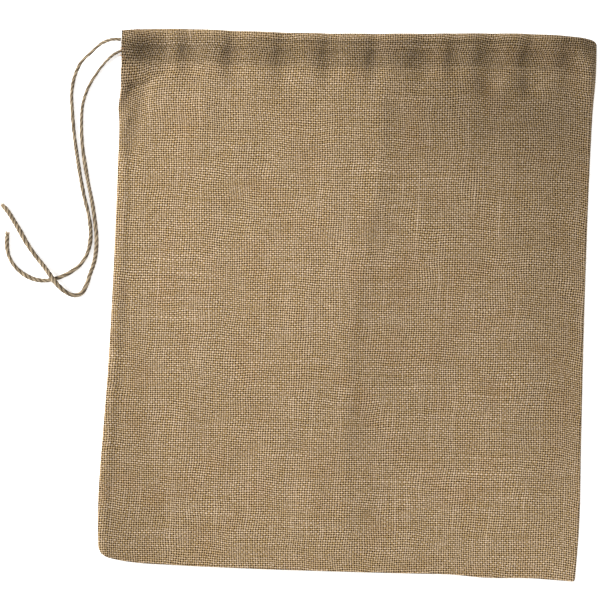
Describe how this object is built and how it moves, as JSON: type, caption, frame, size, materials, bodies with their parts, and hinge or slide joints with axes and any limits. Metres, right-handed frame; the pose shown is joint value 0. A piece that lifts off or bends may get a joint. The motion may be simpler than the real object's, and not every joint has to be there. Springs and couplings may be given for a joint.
{
  "type": "drawstring pouch",
  "caption": "Flat jute hessian drawstring pouch with a cord casing along the mouth; both ends of the twine leave one side.",
  "frame": {"origin": "centre of the flat bag's footprint, on the table under the back panel", "axes": "+X across the bag to the folded side, +Y up the bag to the mouth, +Z away from the table"},
  "size_m": [0.4435, 0.409, 0.0161],
  "materials": {
    "jute_cloth": "coarse plain weave, matte, natural tan",
    "jute_twine": "twisted plies, matte, slightly hairy",
    "sewing_thread": "spun thread, matte, tan"
  },
  "bodies": {
    "bag": {"back_panel": "jute_cloth", "front_panel": "jute_cloth", "back_hem_fold": "jute_cloth", "front_hem_fold": "jute_cloth", "side_seam_allowance": "jute_cloth", "bottom_seam_allowance": "jute_cloth", "side_seam_stitching": "sewing_thread", "bottom_seam_stitching": "sewing_thread", "side_overlock": "sewing_thread", "bottom_overlock": "sewing_thread", "front_hem_stitching": "sewing_thread", "back_hem_stitching": "sewing_thread", "exit_bar_tack": "sewing_thread"},
    "drawstring": {"drawstring_casing_loop": "jute_twine", "drawstring_front_tail": "jute_twine", "drawstring_back_tail": "jute_twine"}
  },
  "joints": [
    {"name": "drawstring_pull", "type": "slide", "parent": "bag", "child": "drawstring", "axis": [-0.9997, -0.0225, 0], "range_m": [0, 0.18], "deforming": ["front_hem_fold", "back_hem_fold"]}
  ]
}
